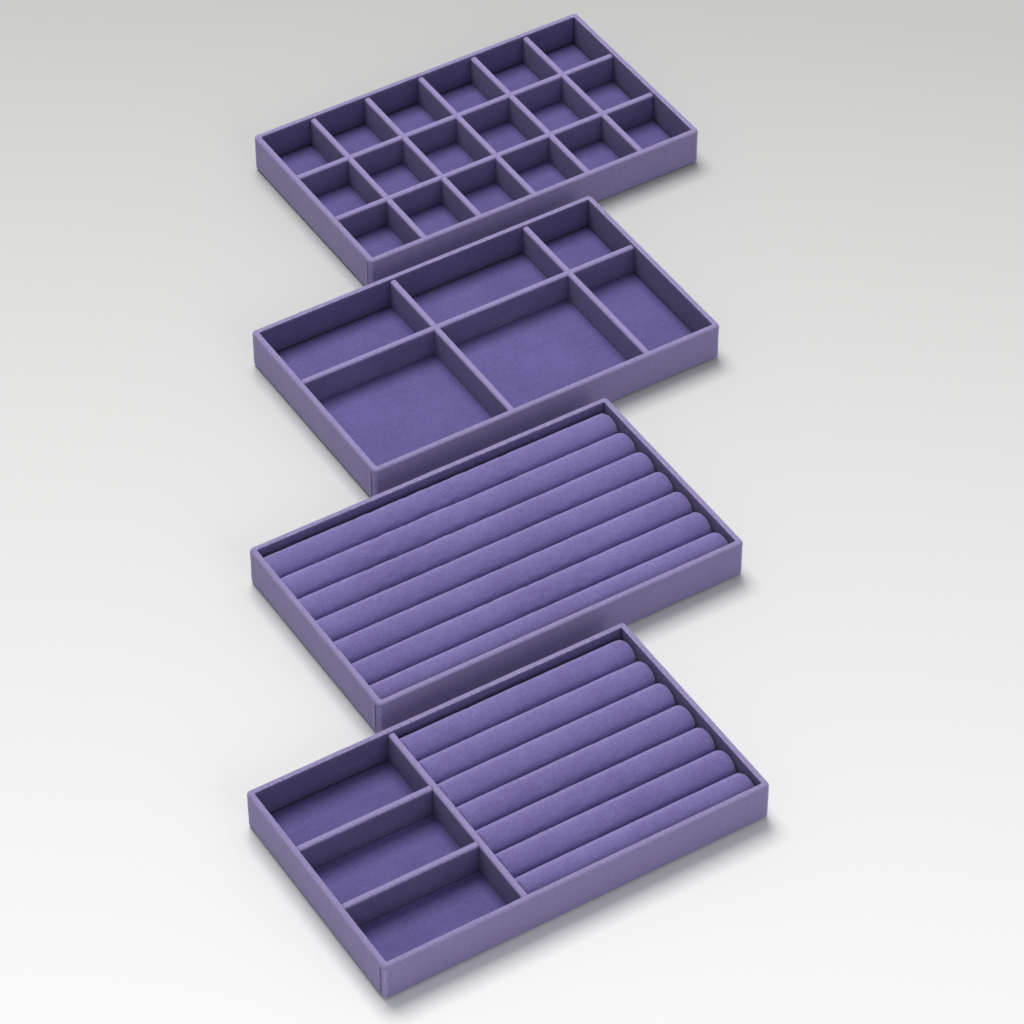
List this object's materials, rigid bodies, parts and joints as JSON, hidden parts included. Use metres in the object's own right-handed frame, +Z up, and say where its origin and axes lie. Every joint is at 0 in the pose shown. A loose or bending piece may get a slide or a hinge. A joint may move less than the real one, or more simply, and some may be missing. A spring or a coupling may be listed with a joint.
{
  "type": "jewelry drawer organizer",
  "caption": "Set of shallow velvet-covered jewelry trays for a drawer: gridded, open, ring-roll and mixed layouts, staggered on one surface.",
  "frame": {"origin": "centre of the footprint of the whole set, on the surface that the four trays stand on", "axes": "+X along the trays' long walls, towards their right ends; +Y from the front tray (mixed) to the back tray (grid); +Z up"},
  "size_m": [0.645, 0.78, 0.033],
  "materials": {
    "velvet": "matte",
    "fibreboard": "matte",
    "card": "matte",
    "foam": "matte",
    "backing": "matte"
  },
  "bodies": {
    "grid_tray": {"grid_base_board": "fibreboard", "grid_cross_divider_boards": "fibreboard", "grid_cross_divider_cover_1": "velvet", "grid_cross_divider_cover_2": "velvet", "grid_cross_divider_cover_3": "velvet", "grid_cross_divider_cover_4": "velvet", "grid_cross_divider_cover_5": "velvet", "grid_floor_card": "card", "grid_floor_velvet": "velvet", "grid_long_divider_boards": "fibreboard", "grid_long_divider_covers": "velvet", "grid_underside_sheet": "backing", "grid_wall_boards": "fibreboard", "grid_wall_wrap": "velvet"},
    "open_tray": {"open_base_board": "fibreboard", "open_cross_divider_boards": "fibreboard", "open_cross_divider_covers": "velvet", "open_floor_card": "card", "open_floor_velvet": "velvet", "open_long_divider_board": "fibreboard", "open_long_divider_cover": "velvet", "open_underside_sheet": "backing", "open_wall_boards": "fibreboard", "open_wall_wrap": "velvet"},
    "ring_tray": {"ring_base_board": "fibreboard", "ring_bed_card": "card", "ring_bed_velvet": "velvet", "ring_roll_1": "velvet", "ring_roll_2": "velvet", "ring_roll_3": "velvet", "ring_roll_4": "velvet", "ring_roll_5": "velvet", "ring_roll_6": "velvet", "ring_roll_7": "velvet", "ring_roll_foams": "foam", "ring_underside_sheet": "backing", "ring_wall_boards": "fibreboard", "ring_wall_wrap": "velvet"},
    "mixed_tray": {"mixed_base_board": "fibreboard", "mixed_bed_card": "card", "mixed_bed_velvet": "velvet", "mixed_cross_divider_board": "fibreboard", "mixed_cross_divider_cover": "velvet", "mixed_floor_card": "card", "mixed_floor_velvet": "velvet", "mixed_roll_1": "velvet", "mixed_roll_2": "velvet", "mixed_roll_3": "velvet", "mixed_roll_4": "velvet", "mixed_roll_5": "velvet", "mixed_roll_6": "velvet", "mixed_roll_7": "velvet", "mixed_roll_foams": "foam", "mixed_short_divider_boards": "fibreboard", "mixed_short_divider_covers": "velvet", "mixed_underside_sheet": "backing", "mixed_wall_boards": "fibreboard", "mixed_wall_wrap": "velvet"}
  },
  "joints": [
    {"name": "open_tray_lift", "type": "slide", "parent": "grid_tray", "child": "open_tray", "axis": [0, 0, 1], "range_m": [0, 0.06]},
    {"name": "ring_tray_lift", "type": "slide", "parent": "grid_tray", "child": "ring_tray", "axis": [0, 0, 1], "range_m": [0, 0.06]},
    {"name": "mixed_tray_lift", "type": "slide", "parent": "grid_tray", "child": "mixed_tray", "axis": [0, 0, 1], "range_m": [0, 0.06]}
  ]
}
